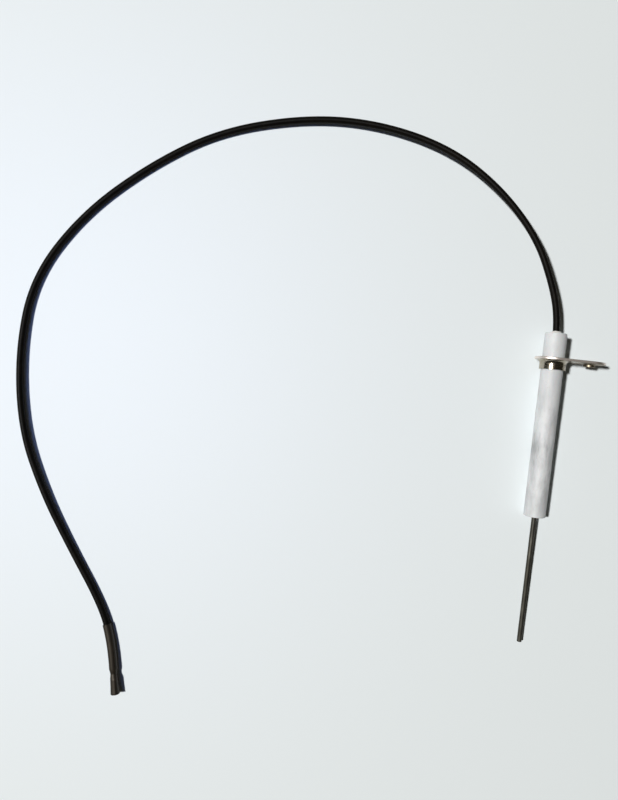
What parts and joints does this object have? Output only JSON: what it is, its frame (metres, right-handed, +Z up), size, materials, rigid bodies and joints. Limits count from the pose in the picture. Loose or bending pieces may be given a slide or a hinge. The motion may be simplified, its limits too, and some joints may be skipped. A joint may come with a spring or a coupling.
{
  "type": "flame sensing electrode",
  "caption": "Metal rod in a white ceramic tube with a pressed mounting bracket, and a braided lead that ends in a sleeved push-on terminal.",
  "frame": {"origin": "on the resting surface, under the middle of the electrode without its lead", "axes": "+Z up from the surface it lies on, +Y along the electrode towards the lead (the axis is tipped 2.6 degrees, hot end down), +X towards the bracket's ear"},
  "size_m": [0.2446, 0.2513, 0.0149],
  "materials": {
    "ceramic": "matt fired white, smudged grey with use",
    "electrode_alloy": "drawn heat-resisting wire, oxidised dark grey with a brown tint",
    "ferrule_brass": "plain crimped brass",
    "cement": "matt, slightly grainy ceramic cement",
    "nickel_plate": "bright warm nickel plating over pressed steel",
    "tinned_copper": "tinned strands",
    "silicone": "matt extruded silicone",
    "black_braid": "tight black glass braid, varnished, with a low brown sheen",
    "terminal_brass": "tinned brass strip",
    "sleeve_black": "soft black sleeving, semi-gloss, creased"
  },
  "bodies": {
    "root": {"ceramic_insulator": "ceramic", "electrode_rod": "electrode_alloy", "splice_ferrule": "ferrule_brass", "hot_end_cement": "cement", "lead_end_cement": "cement", "mounting_bracket": "nickel_plate", "lead_conductor": "tinned_copper", "lead_insulation": "silicone", "lead_braid": "black_braid", "tab_receptacle": "terminal_brass", "terminal_sleeve": "sleeve_black"}
  },
  "joints": []
}
